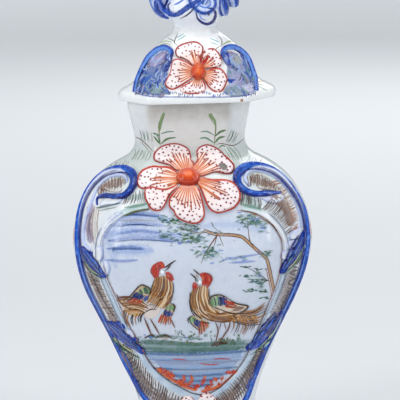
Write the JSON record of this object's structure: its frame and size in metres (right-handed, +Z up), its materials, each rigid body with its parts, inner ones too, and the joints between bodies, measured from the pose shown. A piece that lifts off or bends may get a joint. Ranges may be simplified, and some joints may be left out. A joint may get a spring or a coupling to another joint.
{
  "type": "lidded vase",
  "caption": "Flattened octagonal baluster garniture vase with moulded flower and scroll relief, loose domed lid and scroll knop, tin-glazed earthenware.",
  "frame": {"origin": "middle of the vase's plan on the plane that its foot ring stands on", "axes": "+Z up through the mouth and the lid, +X to the right as seen from the front, -Y out of the front with the moulded flowers and the painted picture"},
  "size_m": [0.1672, 0.1222, 0.363],
  "materials": {
    "white_glaze": "gloss",
    "cobalt_glaze": "gloss",
    "celadon_glaze": "gloss",
    "iron_red_glaze": "gloss",
    "blue_and_white_glaze": "gloss"
  },
  "bodies": {
    "vase": {"vase_body": "white_glaze", "left_scroll": "cobalt_glaze", "right_scroll": "cobalt_glaze", "picture_border": "celadon_glaze", "upper_flower": "iron_red_glaze", "lower_flower": "iron_red_glaze"},
    "lid": {"lid_cover": "white_glaze", "lid_left_scroll": "cobalt_glaze", "lid_right_scroll": "cobalt_glaze", "lid_flower": "iron_red_glaze", "finial": "blue_and_white_glaze"}
  },
  "joints": [
    {"name": "lid_lift", "type": "slide", "parent": "vase", "child": "lid", "axis": [0, 0, 1], "range_m": [0, 0.12]}
  ]
}
